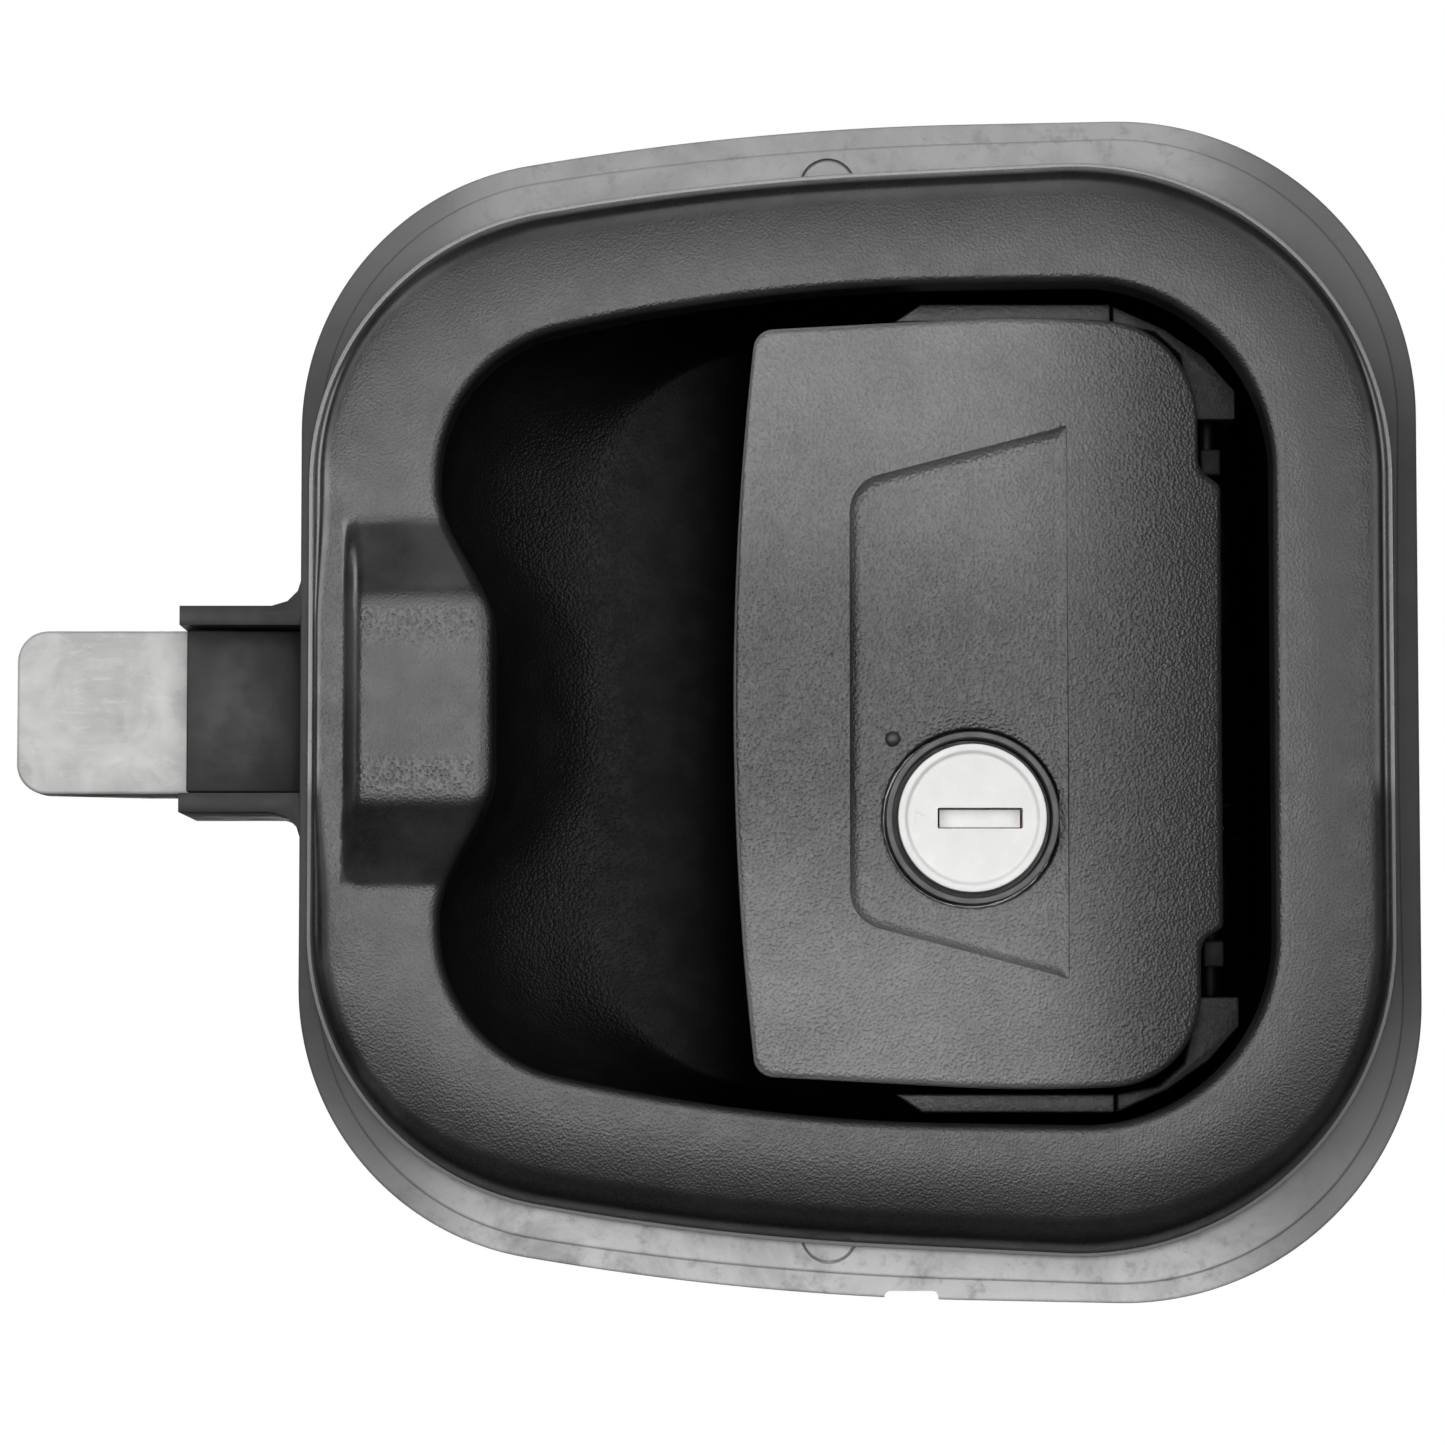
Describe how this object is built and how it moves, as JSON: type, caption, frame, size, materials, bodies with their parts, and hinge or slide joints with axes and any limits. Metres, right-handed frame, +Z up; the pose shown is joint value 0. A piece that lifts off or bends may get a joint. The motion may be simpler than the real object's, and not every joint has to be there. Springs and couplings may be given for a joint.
{
  "type": "flush paddle door handle",
  "caption": "Flush paddle handle for a vehicle door: bezel with finger pocket, hinged paddle with key lock, door gasket, and a spring bolt in an arm at the side.",
  "frame": {"origin": "on the outer face of the door skin, at the middle of the bezel", "axes": "+X towards the paddle's hinge, +Z up, +Y into the door, so the handle faces -Y and the bolt points to -X"},
  "size_m": [0.183, 0.0474, 0.1536],
  "materials": {
    "bezel_plastic": "black moulded plastic with a fine leather grain",
    "cup_plastic": "deep black moulded plastic, grained on the scoop",
    "paddle_plastic": "dark grey moulded plastic with a fine leather grain",
    "ledge_plastic": "coarse grey textured plastic",
    "case_plastic": "satin black moulded plastic",
    "gasket_rubber": "cloudy grey moulded rubber",
    "collar_plastic": "smooth black plastic",
    "lock_metal": "bright satin nickel",
    "bolt_metal": "cloudy zinc, slightly worn",
    "steel": "zinc-plated steel",
    "spring_steel": "oiled spring wire",
    "brass": "turned brass"
  },
  "bodies": {
    "housing": {"door_gasket": "gasket_rubber", "bezel": "bezel_plastic", "pull_cup": "cup_plastic", "gasket_peg_1": "gasket_rubber", "gasket_peg_2": "gasket_rubber", "mounting_insert_1": "brass", "mounting_insert_2": "brass", "mounting_insert_3": "brass", "mounting_insert_4": "brass", "cup_screw_1": "steel", "cup_screw_2": "steel", "cup_screw_3": "steel", "cup_screw_4": "steel", "upper_ledge": "ledge_plastic", "lower_ledge": "ledge_plastic", "upper_pivot_cap": "ledge_plastic", "lower_pivot_cap": "ledge_plastic", "upper_bumper": "gasket_rubber", "lower_bumper": "gasket_rubber", "hinge_pin": "steel", "paddle_spring": "spring_steel", "bolt_spring": "spring_steel", "pivot_pin": "steel", "latch_case": "case_plastic", "arm_plate": "case_plastic", "case_cover": "case_plastic", "cover_screw_1": "steel", "cover_screw_2": "steel", "cover_screw_3": "steel", "cover_screw_4": "steel"},
    "paddle": {"paddle_shell": "paddle_plastic", "paddle_backing": "steel", "pull_arm": "steel", "arm_screw_1": "steel", "arm_screw_2": "steel", "index_nub": "collar_plastic", "lock_housing": "collar_plastic", "lock_nut": "steel"},
    "key_plug": {"plug_face": "lock_metal", "plug_core": "brass", "lock_cam": "steel", "cam_screw": "steel"},
    "key_shutter": {"key_shutter": "lock_metal"},
    "crank": {"bell_crank": "steel", "push_pin": "steel", "link_pin": "steel"},
    "bolt": {"latch_bolt": "bolt_metal", "bolt_link": "steel", "link_rivet_1": "steel", "link_rivet_2": "steel"}
  },
  "joints": [
    {"name": "paddle_pull", "type": "hinge", "parent": "housing", "child": "paddle", "pos_m": [0.047, 0.003, 0], "axis": [0, 0, 1], "range_deg": [0, 30], "stiffness_Nm_per_rad": 0.8, "springref_deg": -17.19},
    {"name": "key_turn", "type": "hinge", "parent": "paddle", "child": "key_plug", "pos_m": [0.0155, 0, -0.0149], "axis": [0, 1, 0], "range_deg": [0, 90]},
    {"name": "shutter_flap", "type": "hinge", "parent": "key_plug", "child": "key_shutter", "pos_m": [0.0165, -0.0103, -0.01405], "axis": [1, 0, 0], "range_deg": [0, 75], "stiffness_Nm_per_rad": 0.0004, "springref_deg": -28.65},
    {"name": "crank_turn", "type": "hinge", "parent": "housing", "child": "crank", "pos_m": [0.0425, 0.0246, 0], "axis": [0, 1, 0], "range_deg": [-39, 0]},
    {"name": "bolt_slide", "type": "slide", "parent": "housing", "child": "bolt", "axis": [1, 0, 0], "range_m": [0, 0.0126], "stiffness_N_per_m": 200, "springref_m": -0.02, "deforming": ["bolt_spring"]}
  ],
  "couplings": [
    {"joint": "crank_turn", "follows": "paddle_pull", "ratio": -1.29},
    {"joint": "bolt_slide", "follows": "paddle_pull", "m_per_rad": 0.02387}
  ]
}
